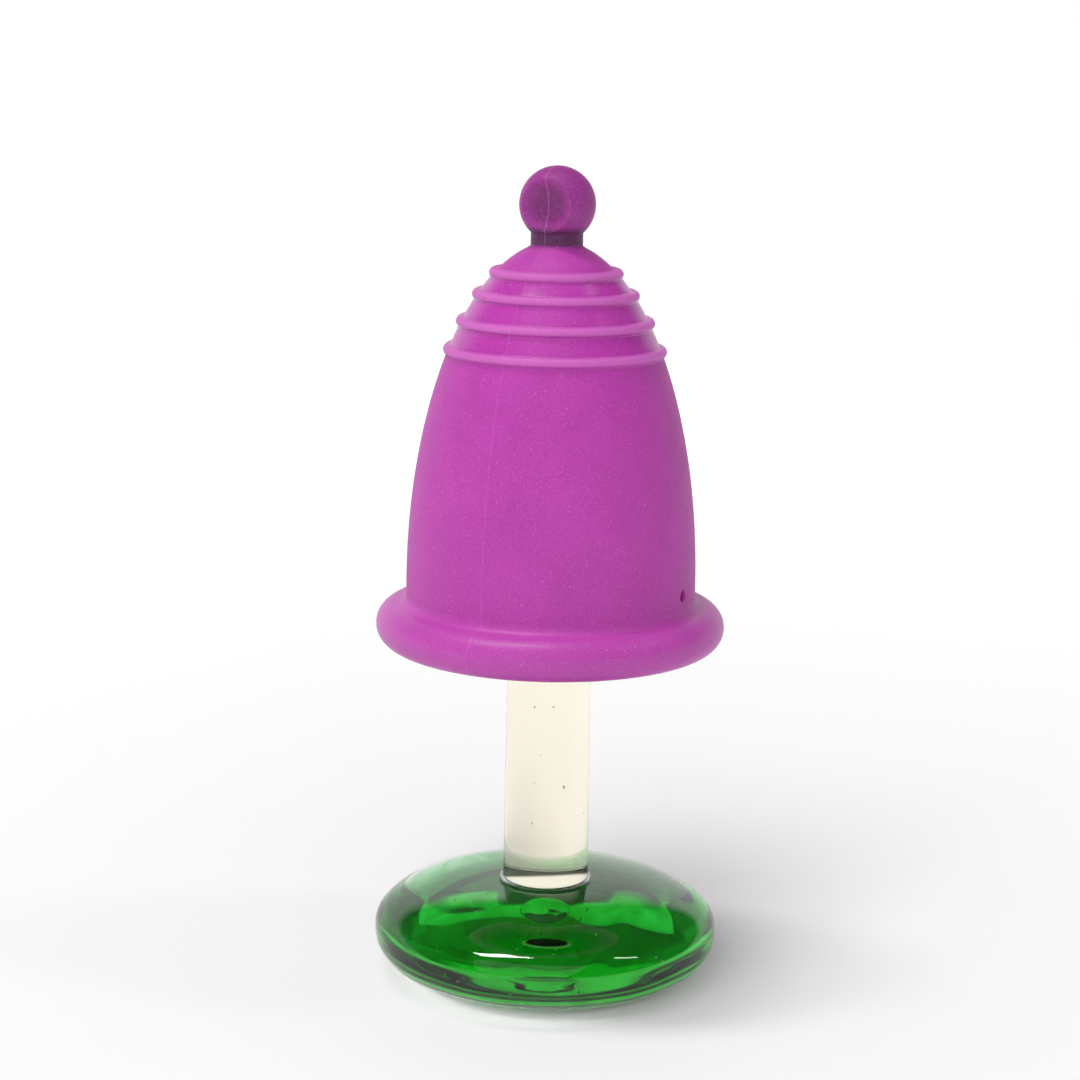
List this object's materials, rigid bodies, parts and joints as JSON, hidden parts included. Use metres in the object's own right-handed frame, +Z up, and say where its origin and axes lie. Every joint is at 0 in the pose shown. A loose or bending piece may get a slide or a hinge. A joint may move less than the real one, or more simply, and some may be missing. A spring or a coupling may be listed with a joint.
{
  "type": "silicone cup on a glass display stand",
  "caption": "Purple silicone bell cup with grip rings and a ball pull, mouth down over a clear glass rod on a green glass puck.",
  "frame": {"origin": "middle of the stand's flat underside, on the axis that the rod and the cup share", "axes": "+Z up along the rod; -Y is the front, where the ball's finger dish shows a little to the left"},
  "size_m": [0.0444, 0.0444, 0.1034],
  "materials": {
    "purple_silicone": "satin",
    "clear_glass": "gloss",
    "green_glass": "gloss"
  },
  "bodies": {
    "stand": {"base_clear_casing": "clear_glass", "base_green_core": "green_glass", "stem_rod": "clear_glass", "foot_collar": "clear_glass"},
    "cup": {"cup_bell": "purple_silicone"},
    "neck": {"pull_neck": "purple_silicone"},
    "ball": {"pull_ball": "purple_silicone"}
  },
  "joints": [
    {"name": "cup_lift", "type": "slide", "parent": "stand", "child": "cup", "axis": [0, 0, 1], "range_m": [0, 0.055]},
    {"name": "pull_bend_fore_aft", "type": "hinge", "parent": "cup", "child": "neck", "pos_m": [0, 0, 0.0944], "axis": [1, 0, 0], "range_deg": [-20, 20], "stiffness_Nm_per_rad": 0.04, "deforming": ["pull_neck"]},
    {"name": "pull_bend_sideways", "type": "hinge", "parent": "neck", "child": "ball", "pos_m": [0, 0, 0.0944], "axis": [0, 1, 0], "range_deg": [-20, 20], "stiffness_Nm_per_rad": 0.04}
  ]
}
